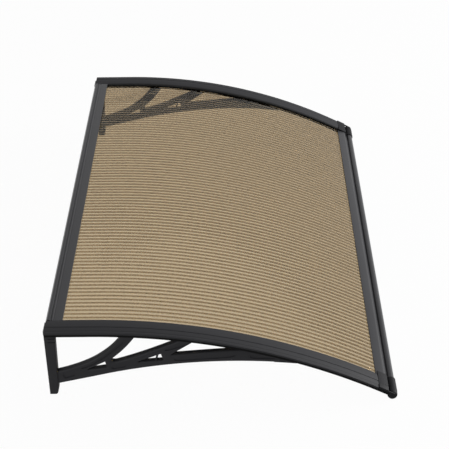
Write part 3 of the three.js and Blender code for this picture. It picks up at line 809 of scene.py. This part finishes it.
def trace_nose(pen, grow):
    """The front of the nose rail, from its flange over the bead to its underside, grown out."""
    front = FRONT_FLANGE[1] + grow
    floor = GROOVE_FLOOR + grow
    bead = BEAD_RADIUS + grow
    nose = NOSE_RADIUS + grow
    bead_start = math.pi - math.asin((floor - BEAD_HEIGHT) / bead)
    nose_end = math.asin((NOSE_HEIGHT - FOOT_UNDER + grow) / nose) - math.pi
    pen.line((front, RAIL_TOP + grow), soft=0.9 * MM)
    pen.line((front, floor), soft=0.5 * MM)
    pen.line((BEAD_AT + bead * math.cos(bead_start), floor))
    pen.arc((BEAD_AT, BEAD_HEIGHT), -math.degrees(bead_start), 18)
    pen.line((NOSE_AT + nose, NOSE_HEIGHT))
    pen.arc((NOSE_AT, NOSE_HEIGHT), math.degrees(nose_end), 18)


def nose_rail():
    """The front rail: flange, groove and round bead over a hollow nose."""
    back = FRONT_CHANNEL_END + RAIL_WEB
    roof = GROOVE_FLOOR - NOSE_WALL
    floor = FOOT_UNDER + NOSE_WALL
    hollow = NOSE_RADIUS - NOSE_WALL
    floor_turn = math.asin((NOSE_HEIGHT - floor) / hollow) - math.pi
    inside = BEAD_RADIUS - NOSE_WALL
    roof_turn = math.pi - math.asin((roof - BEAD_HEIGHT) / inside)
    bm = bmesh.new()
    pen = Outline(bm, out_from_wall, (FRONT_FLANGE[0], FLANGE_LIP), soft=0.3 * MM)
    pen.line((FRONT_FLANGE[0], FLANGE_EDGE), soft=0.4 * MM)
    pen.line((FRONT_FLANGE[0] + FLANGE_SLOPE, RAIL_TOP), soft=1.2 * MM)
    trace_nose(pen, 0)
    pen.line((FRONT_FOOT_START, FOOT_UNDER), (FRONT_FOOT_START, FOOT_TOP), soft=0.4 * MM)
    pen.line((FRONT_CHANNEL_END, FOOT_TOP), (FRONT_CHANNEL_END, PLATE_UNDER))
    pen.line((FRONT_FLANGE[0] + FLANGE_WEDGE, PLATE_UNDER))
    pen.line((FRONT_FLANGE[0] + FLANGE_WEDGE, FLANGE_LIP), soft=0.3 * MM)
    pen.close()
    chamber = Outline(bm, out_from_wall, (back, roof))
    chamber.line((back, floor))
    chamber.line((NOSE_AT + hollow * math.cos(floor_turn), floor))
    chamber.arc((NOSE_AT, NOSE_HEIGHT), -math.degrees(floor_turn), 14)
    chamber.line((BEAD_AT + inside, BEAD_HEIGHT))
    chamber.arc((BEAD_AT, BEAD_HEIGHT), math.degrees(roof_turn), 14)
    chamber.close()
    fill(bm)
    across_canopy(bm, -FRONT_RAIL_HALF, FRONT_RAIL_HALF)
    pad_end = FRONT_FOOT_START - CLEARANCE
    for side in (-1, 1):
        pad = bmesh.new()
        Outline(pad, out_from_wall, (FRONT_PAD_START, FOOT_UNDER)).line(
            (pad_end, FOOT_UNDER), (pad_end, FOOT_TOP), (FRONT_PAD_START, FOOT_TOP)
        ).close()
        cover(pad)
        across_canopy(pad, side * (STRIP_MIDDLE + SEAT_IN), side * -FRONT_RAIL_HALF)
        take_in(bm, pad)
    bm.transform(TO_FRONT)
    make_piece("nose_rail", bm, (charcoal_coat,), "front_rail")


nose_rail()


def corner_caps():
    """Sleeves over the ends of the nose rail, each with a tongue to the side and a round end."""
    grow = CLEARANCE + CAP_WALL
    gap_top = RAIL_TOP + CLEARANCE
    cap_top = RAIL_TOP + grow
    start = FRONT_FLANGE[0]
    front = FRONT_FLANGE[1] + grow
    cavity_end = -FRONT_RAIL_HALF - CLEARANCE
    sleeve_end = cavity_end - CAP_WALL
    inside = -FRONT_RAIL_HALF + CAP_LENGTH
    overlap = 0.5 * MM

    sleeve = bmesh.new()
    pen = Outline(sleeve, out_from_wall, (start, gap_top))
    pen.line((start, cap_top), soft=0.9 * MM)
    trace_nose(pen, grow)
    pen.line((FRONT_CHANNEL_END, PLATE_UNDER), (FRONT_CHANNEL_END, gap_top))
    pen.close()
    cover(sleeve)
    across_canopy(sleeve, sleeve_end, inside)

    cavity = bmesh.new()
    pen = Outline(cavity, out_from_wall, (FRONT_PAD_START, FOOT_UNDER - CLEARANCE))
    pen.line((start - overlap, gap_top))
    trace_nose(pen, CLEARANCE)
    pen.close()
    cover(cavity)
    across_canopy(cavity, cavity_end, inside + overlap)

    tongue = bmesh.new()
    step = 0.12 * MM  # keeps the faces of joined shapes out of one plane
    pen = Outline(tongue, out_from_wall, (start + step, PLATE_UNDER - step), soft=0.4 * MM)
    pen.line((front - step, PLATE_UNDER - step), soft=0.4 * MM)
    pen.line((front - step, cap_top - step), (start + step, cap_top - step), soft=0.9 * MM)
    pen.close()
    cover(tongue)
    across_canopy(tongue, CANOPY_SIDE, cavity_end - overlap)
    soften(tongue, 0.8 * MM, limit=60)

    skirt = bmesh.new()
    skirt_under = LIP_UNDER + 2 * CLEARANCE
    skirt_inside = CANOPY_SIDE + CLEARANCE + CAP_WALL
    pen = Outline(skirt, out_from_wall, (start, skirt_under))
    pen.line((NOSE_AT, skirt_under), (NOSE_AT, RAIL_TOP), (start, RAIL_TOP))
    pen.close()
    cover(skirt)
    across_canopy(skirt, CANOPY_SIDE + CLEARANCE, skirt_inside)

    shelf = bmesh.new()
    shelf_top = GROOVE_FLOOR + grow - step
    pen = Outline(shelf, out_from_wall, (FRONT_FLANGE[1], shelf_top - CAP_WALL))
    pen.line((NOSE_AT, shelf_top - CAP_WALL), (NOSE_AT, shelf_top), (FRONT_FLANGE[1], shelf_top))
    pen.close()
    cover(shelf)
    across_canopy(shelf, skirt_inside + CLEARANCE, cavity_end - overlap)

    radius = CAP_ROUND
    foot = CANOPY_SIDE + CAP_NOSE
    round_end = bmesh.new()
    line = Outline(
        round_end, lambda x, r: Vector((x, -CAP_ROUND_AT, CAP_ROUND_HEIGHT + r)), (CANOPY_SIDE, 0)
    )
    line.line(*bow((CANOPY_SIDE, 0), (CANOPY_SIDE, radius), (foot, radius), 10)[1:])
    line.line((sleeve_end + overlap, radius), (sleeve_end + overlap, 0))
    turn_round(round_end, (0, -CAP_ROUND_AT, CAP_ROUND_HEIGHT), (1, 0, 0), 40)

    bm = combine(sleeve, round_end, "UNION")
    bm = combine(bm, tongue, "UNION")
    bm = combine(bm, skirt, "UNION")
    bm = combine(bm, shelf, "UNION")
    bm = combine(bm, cavity, "DIFFERENCE")
    bm.transform(TO_FRONT)
    make_pair("nose_cap", bm, (cap_moulding,), "corner_cap")


corner_caps()


# Brackets


def side_plate(loops, thickness, rim=0, spread=0):
    """A plate from closed lines of distances out and heights, with round rims on both sides."""
    curve = bpy.data.curves.new("side_plate", "CURVE")
    curve.dimensions = "2D"
    curve.fill_mode = "BOTH"
    curve.extrude = thickness / 2 - rim
    curve.bevel_depth = rim
    curve.bevel_resolution = 4
    curve.offset = spread - rim
    for loop in loops:
        spline = curve.splines.new("POLY")
        spline.points.add(len(loop) - 1)
        for knot, (out, up) in zip(spline.points, loop):
            knot.co = (out, up, 0, 1)
        spline.use_cyclic_u = True
    drawing = bpy.data.objects.new("side_plate", curve)
    mesh = bpy.data.meshes.new_from_object(drawing)
    bm = bmesh.new()
    bm.from_mesh(mesh)
    bpy.data.objects.remove(drawing)
    bpy.data.curves.remove(curve)
    bpy.data.meshes.remove(mesh)
    bmesh.ops.remove_doubles(bm, verts=bm.verts[:], dist=LINE_WELD)
    bm.transform(SIDE_VIEW)
    return bm


def along_seat(start, end, height):
    """Points on a level line, close enough together to be bent with the sheet."""
    steps = max(2, round((end - start) / 8))
    return [(start + (end - start) * k / steps, height) for k in range(steps + 1)]


def round_corner(before, corner, after):
    """Points of a round corner between two straight lines."""
    before, corner, after = Vector(before), Vector(corner), Vector(after)
    first = (before - corner).normalized()
    last = (after - corner).normalized()
    half = first.angle(last) / 2
    centre = corner + (first + last).normalized() * CORNER_ROUND / math.sin(half)
    start = corner + first * CORNER_ROUND / math.tan(half) - centre
    turn = math.copysign(math.pi - 2 * half, first.cross(last))
    steps = 10
    points = []
    for k in range(steps + 1):
        spoke = start.copy()
        spoke.rotate(Matrix.Rotation(-turn * k / steps, 2))
        points.append(tuple(centre + spoke))
    return points


def round_window(corners):
    """A triangular window with round corners."""
    points = []
    for k, corner in enumerate(corners):
        points += round_corner(corners[k - 1], corner, corners[(k + 1) % 3])
    return points


def pocket_line(start, handle, end, first_width, last_width):
    """A ribbon of changing width along a curve, with round ends."""
    steps = 28
    spine = [Vector(point) for point in bow(start, handle, end, steps)]
    upper = []
    lower = []
    for k, point in enumerate(spine):
        way = (spine[min(k + 1, steps)] - spine[max(k - 1, 0)]).normalized()
        share = k / steps
        end_round = math.sqrt(max(1 - abs(2 * share - 1) ** 8, 0.04))
        half = (first_width + (last_width - first_width) * share) / 2 * end_round
        side = Vector((-way.y, way.x)) * half
        upper.append(tuple(point + side))
        lower.append(tuple(point - side))
    return upper + lower[::-1]


def bent(points):
    """Bends a line that was drawn on the flat sheet in millimetres."""
    return [on_sheet(along * MM, height * MM) for along, height in points]


def underside(start, end):
    """The arm's straight lower edge, which is drawn on the flat sheet."""
    root, height = ARM_ROOT
    slope = (ARM_TIP[1] - height) / (ARM_TIP[0] - root)
    return [(along, height + slope * (along - root)) for along, _ in along_seat(start, end, 0)]


def arm_lines():
    """Outline of the lower arm with its two branches, then the two small windows."""
    root = ARM_ROOT[0]
    outline = underside(root, BLUNT_END)
    outline += along_seat(ARM_UPPER_EDGE[0][0], BLUNT_END, ARM_TOP)[::-1]
    outline += bow(*ARM_UPPER_EDGE, 26)[1:]
    outline += round_corner(*SECOND_FORK)
    outline += SECOND_BRANCH_TOP
    outline += bow(*SECOND_BRANCH_BACK, 28)
    outline += bow(*FIRST_FORK, 10)[1:-1]
    outline += bow(*FIRST_BRANCH_FRONT, 20)
    outline += [FIRST_BRANCH_TOP]
    outline += bow(*FIRST_BRANCH_BACK, 32)
    outline += [(root, ARM_ROOT_TOP)]
    windows = [round_window(FIRST_WINDOW), round_window(SECOND_WINDOW)]
    return [bent(line) for line in (outline, *windows)]


def bracket_arms():
    """The arms as one plate with round rims and shallow pockets, a thin tip and a window rib."""
    bm = side_plate(arm_lines(), ARM_THICKNESS, ARM_RIM, ARM_SPREAD)
    pockets = [bent(pocket_line(*pocket)) for pocket in POCKETS]
    for side in (-1, 1):
        cut = side_plate(pockets, 2 * POCKET_DEPTH)
        bmesh.ops.translate(cut, verts=cut.verts[:], vec=(side * ARM_THICKNESS / 2, 0, 0))
        bm = combine(bm, cut, "DIFFERENCE")
    tip_start, tip_end = BLUNT_END - TIP_LAP, ARM_TIP[0] - TIP_LAP
    tip = [(along, height - TIP_DROP) for along, height in underside(tip_start, tip_end)]
    tip += along_seat(tip_start, tip_end, ARM_TOP + 1)[::-1]
    take_in(bm, side_plate([bent(tip)], ARM_THICKNESS - 3 * MM, TIP_RIM))
    take_in(bm, side_plate([bent(pocket_line(*WINDOW_RIB))], ARM_THICKNESS / 2, TIP_RIM))
    bmesh.ops.translate(bm, verts=bm.verts[:], vec=(STRIP_MIDDLE, 0, 0))
    return bm


def wall_hole(height):
    """A stepped pin for the hole and the head seat of a wall screw."""
    start, end = WALL_PIN
    bm = bmesh.new()
    pen = Outline(bm, lambda r, out: Vector((STRIP_MIDDLE + r, -out, height)), (0, start))
    pen.line((WALL_HOLE_RADIUS, start), (WALL_HOLE_RADIUS, WALL_HEAD_SEAT))
    pen.line((WALL_HEAD_RADIUS, WALL_HEAD_SEAT), (WALL_HEAD_RADIUS, end), (0, end))
    turn_round(bm, (STRIP_MIDDLE, 0, height), (0, 1, 0), 32)
    return bm


def bracket_leg():
    """The upright leg with its tapered foot, two grooves round its front and the wall holes."""
    toe = ((LEG_FOOT_DEPTH, LEG_BOTTOM), (LEG_DEPTH, LEG_BOTTOM), (LEG_DEPTH, LEG_BOTTOM + LEG_TAPER))
    outline = [(0, LEG_TOP), (0, LEG_BOTTOM), *bow(*toe, 12), (LEG_TOP_DEPTH, LEG_TOP)]
    bm = side_plate([outline], LEG_THICKNESS, LEG_RIM)
    for place in (LEG_PLATE, LEG_PLATE + COLLAR_DEPTH):
        slice_across(bm, (0, -place, 0), (0, 1, 0))
    core = Matrix.Translation((0, -LEG_PLATE, 0))
    shrink = (1 - 2 * COLLAR_DEPTH / LEG_THICKNESS, 1 - COLLAR_DEPTH / (LEG_DEPTH - LEG_PLATE), 1)
    for height in COLLAR_HEIGHTS:
        for step in (-COLLAR_HALF, -COLLAR_HALF / 2, COLLAR_HALF / 2, COLLAR_HALF):
            slice_across(bm, (0, 0, height + step), (0, 0, 1))
        groove = [
            v
            for v in bm.verts
            if abs(v.co.z - height) < 0.6 * COLLAR_HALF and v.co.y < -LEG_PLATE - CLEARANCE
        ]
        bmesh.ops.scale(bm, vec=shrink, space=core.inverted(), verts=groove)
    bmesh.ops.translate(bm, verts=bm.verts[:], vec=(STRIP_MIDDLE, 0, 0))
    for height in WALL_HOLE_HEIGHTS:
        bm = combine(bm, wall_hole(height), "DIFFERENCE")
    return bm


def bracket_seat():
    """The curved seat under the sheet's side."""
    outer = STRIP_MIDDLE - SEAT_OUT
    inner = STRIP_MIDDLE + SEAT_IN
    bm = bmesh.new()
    Outline(bm, at_wall, (outer, SEAT_TOP), soft=0.6 * MM).line(
        (inner, SEAT_TOP), (inner, SEAT_UNDER), (outer, SEAT_UNDER), soft=0.6 * MM
    ).close()
    cover(bm)
    follow_sheet(bm, 0, BEND_END + SEAT_PAST_BEND)
    return bm


def brackets():
    """The two mouldings: arms, leg and seat."""
    bm = bracket_arms()
    take_in(bm, bracket_leg())
    take_in(bm, bracket_seat())
    make_pair("wall_bracket", bm, (black_moulding,), "bracket")


brackets()


# Seals


def cross_seal(name, start, end, place, node):
    """A sealing strip under one of the two straight rails."""
    bm = bmesh.new()
    Outline(bm, out_from_wall, (start, SEAL_UNDER), soft=0.5 * MM).line(
        (end, SEAL_UNDER), (end, SEAL_TOP), (start, SEAL_TOP), soft=0.5 * MM
    ).close()
    cover(bm)
    across_canopy(bm, -SEAL_HALF, SEAL_HALF)
    bm.transform(place)
    make_piece(name, bm, (seal_rubber,), node)


def strip_seals():
    """Sealing strips under the cover strips, each with a lip up the strip's inner edge."""
    outer = STRIP_EDGE - SEAL_WIDTH
    lip = STRIP_EDGE + CLEARANCE
    bm = bmesh.new()
    pen = Outline(bm, at_wall, (outer, SEAL_UNDER), soft=0.5 * MM)
    pen.line((lip + LIP_REACH, SEAL_UNDER), soft=0.5 * MM)
    pen.line((lip + LIP_REACH, LIP_TOP - 0.5 * MM), soft=0.8 * MM)
    pen.line((lip, LIP_TOP), soft=0.2 * MM)
    pen.line((lip, SEAL_TOP))
    pen.line((outer, SEAL_TOP), soft=0.5 * MM)
    pen.close()
    fill(bm)
    follow_sheet(bm, REAR_DEPTH + CLEARANCE, STRIP_END)
    make_pair("strip_seal", bm, (seal_rubber,), "upper_seal")


def seat_seals():
    """Sealing strips between the sheet and the brackets' seats."""
    inner = STRIP_MIDDLE + SEAT_IN - CLEARANCE
    outer = inner - LOWER_SEAL_WIDTH
    bm = bmesh.new()
    Outline(bm, at_wall, (inner, FOOT_UNDER), soft=0.5 * MM).line(
        (inner, FOOT_TOP), (outer, FOOT_TOP), (outer, FOOT_UNDER), soft=0.5 * MM
    ).close()
    cover(bm)
    follow_sheet(bm, REAR_FOOT_END + CLEARANCE, BEND_END + FRONT_PAD_START - CLEARANCE)
    make_pair("seat_seal", bm, (seal_rubber,), "lower_seal")


rear_seal_end = REAR_DEPTH - SEAL_INSET
cross_seal("wall_rail_seal", rear_seal_end - SEAL_WIDTH, rear_seal_end, Matrix(), "rear_seal")
front_seal_start = FRONT_FLANGE[0] + FLANGE_WEDGE + CLEARANCE
front_seal_end = FRONT_CHANNEL_END - CLEARANCE
cross_seal("nose_rail_seal", front_seal_start, front_seal_end, TO_FRONT, "front_seal")
strip_seals()
seat_seals()


# Screws


def pan_screw():
    """A pan-head screw, point up, with a cross recess in its head."""
    bm = bmesh.new()
    line = Outline(bm, at_wall, (0, -HEAD_HEIGHT))
    line.line(*bow((0, -HEAD_HEIGHT), (HEAD_RADIUS, -HEAD_HEIGHT), (HEAD_RADIUS, 0), 8)[1:])
    line.line((SCREW_RADIUS, 0), (SCREW_RADIUS, SCREW_LENGTH - SCREW_POINT), (0, SCREW_LENGTH))
    turn_round(bm, (0, 0, 0), (0, 0, 1), 24)
    arm, half = RECESS_ARM, RECESS_HALF
    cross = bmesh.new()
    below = -HEAD_HEIGHT - RECESS_PAST_HEAD
    pen = Outline(cross, lambda x, y: Vector((x, y, below)), (arm, half))
    pen.line((half, half), (half, arm), (-half, arm), (-half, half), (-arm, half))
    pen.line((-arm, -half), (-half, -half), (-half, -arm), (half, -arm), (half, -half), (arm, -half))
    pen.close()
    cover(cross)
    push(cross, cross.faces[:], (0, 0, RECESS_DEPTH + RECESS_PAST_HEAD))
    return combine(bm, cross, "DIFFERENCE")


def screws():
    """Seven screws a side, driven up through the seats."""
    pattern = pan_screw()
    rows = [("rear_rail_screw_{}", REAR_SCREW), ("front_rail_screw_{}", BEND_END + FRONT_SCREW)]
    along_strip = STRIP_SCREWS_REAR + tuple(BEND_END + back for back in STRIP_SCREWS_FRONT)
    rows += [(f"strip_screw_{{}}_{k}", along) for k, along in enumerate(along_strip, 1)]
    for side, x in (("left", STRIP_MIDDLE), ("right", -STRIP_MIDDLE)):
        for name, along in rows:
            node = name.format(side)
            bm = pattern.copy()
            bm.transform(sheet_frame(x, along, SCREW_FOOT))
            make_piece(f"pan_{node}", bm, (zinc_steel,), node)
    pattern.free()


screws()


# Camera, at the photograph's place and angle

CAMERA_AT = Vector((-2.1381, -0.3385, 1.2891))
CAMERA_PITCH = math.radians(32.98)
CAMERA_YAW = math.radians(0.72)
CAMERA_ROLL = math.radians(-0.92)
FOCAL_PIXELS = 1206.8
IMAGE_PIXELS = 449
SENSOR = 36


def photo_camera():
    """A camera at the photograph's place and angle."""
    level = math.cos(CAMERA_PITCH)
    forward = Vector(
        (level * math.cos(CAMERA_YAW), level * math.sin(CAMERA_YAW), -math.sin(CAMERA_PITCH))
    )
    right = forward.cross(Vector((0, 0, 1))).normalized()
    upward = right.cross(forward)
    rolled_right = right * math.cos(CAMERA_ROLL) + upward * math.sin(CAMERA_ROLL)
    rolled_up = upward * math.cos(CAMERA_ROLL) - right * math.sin(CAMERA_ROLL)
    turn = Matrix((rolled_right, rolled_up, -forward)).transposed()
    data = bpy.data.cameras.new("photo_camera")
    data.sensor_width = SENSOR
    data.lens = FOCAL_PIXELS * SENSOR / IMAGE_PIXELS
    data.clip_end = 50
    camera = bpy.data.objects.new("photo_camera", data)
    camera.matrix_world = Matrix.Translation(CAMERA_AT) @ turn.to_4x4()
    bpy.context.scene.collection.objects.link(camera)
    return camera


bpy.context.scene.camera = photo_camera()


# Floor and light

FLOOR_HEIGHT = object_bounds()[0][2] - 0.5 * MM
FLOOR_TONE = (0.26, 0.26, 0.26, 1)
FLOOR_ROUGHNESS = 0.9
FLOOR_GLOW = 0.97
SKY_LIGHT = 0.6


def background_rays(tree):
    """One for rays that show the background: seen straight on, through the sheet or in gloss."""
    path = add_node(tree, "ShaderNodeLightPath")
    seen = add_node(tree, "ShaderNodeMath", operation="MAXIMUM")
    shown = add_node(tree, "ShaderNodeMath", operation="MAXIMUM")
    link = tree.links.new
    link(path.outputs["Is Camera Ray"], seen.inputs[0])
    link(path.outputs["Is Transmission Ray"], seen.inputs[1])
    link(seen.outputs[0], shown.inputs[0])
    link(path.outputs["Is Glossy Ray"], shown.inputs[1])
    return shown.outputs[0]


def floor_material():
    """Pale floor that looks white, also through the sheet, and still takes the canopy's shadow."""
    material, tree, shader = new_material("pale_floor")
    shader.inputs["Base Color"].default_value = FLOOR_TONE
    shader.inputs["Roughness"].default_value = FLOOR_ROUGHNESS
    glow = add_node(tree, "ShaderNodeEmission")
    share = add_node(tree, "ShaderNodeMath", operation="MULTIPLY")
    share.inputs[1].default_value = FLOOR_GLOW
    mix = add_node(tree, "ShaderNodeMixShader")
    link = tree.links.new
    link(background_rays(tree), share.inputs[0])
    link(share.outputs[0], mix.inputs["Fac"])
    link(shader.outputs["BSDF"], mix.inputs[1])
    link(glow.outputs["Emission"], mix.inputs[2])
    link(mix.outputs["Shader"], tree.nodes["Material Output"].inputs["Surface"])
    return material


floor_bm = bmesh.new()
bmesh.ops.create_grid(floor_bm, x_segments=1, y_segments=1, size=12)
bmesh.ops.translate(floor_bm, verts=floor_bm.verts[:], vec=(0, 0, FLOOR_HEIGHT))
floor = new_object("floor", floor_bm)
floor.data.materials.append(floor_material())


def area_lamp(name, place, aim, size, power):
    """A square soft lamp aimed at a point."""
    data = bpy.data.lights.new(name, "AREA")
    data.shape = "SQUARE"
    data.size = size
    data.energy = power
    lamp = bpy.data.objects.new(name, data)
    way = Vector(aim) - Vector(place)
    turn = way.to_track_quat("-Z", "Y").to_matrix()
    lamp.matrix_world = Matrix.Translation(place) @ turn.to_4x4()
    bpy.context.scene.collection.objects.link(lamp)


area_lamp("key_lamp", (0.6, -3.4, 1.1), (0, -0.4, 0), 1.8, 280)
area_lamp("side_lamp", (-2.4, 1.3, 0.6), (-0.5, -0.2, -0.05), 1.4, 36)
area_lamp("top_lamp", (-0.8, -0.6, 3.0), (0, -0.3, 0), 2.0, 8)


def studio_sky():
    """An even white sky, dimmer as a light than as a background."""
    world = bpy.data.worlds.new("studio")
    world.use_nodes = True
    tree = world.node_tree
    sky = tree.nodes["Background"]
    sky.inputs["Color"].default_value = (1, 1, 1, 1)
    strength = add_node(tree, "ShaderNodeMapRange")
    strength.inputs["To Min"].default_value = SKY_LIGHT
    strength.inputs["To Max"].default_value = 1
    tree.links.new(background_rays(tree), strength.inputs["Value"])
    tree.links.new(strength.outputs["Result"], sky.inputs["Strength"])
    return world


bpy.context.scene.world = studio_sky()
bpy.context.scene.view_settings.view_transform = "Standard"
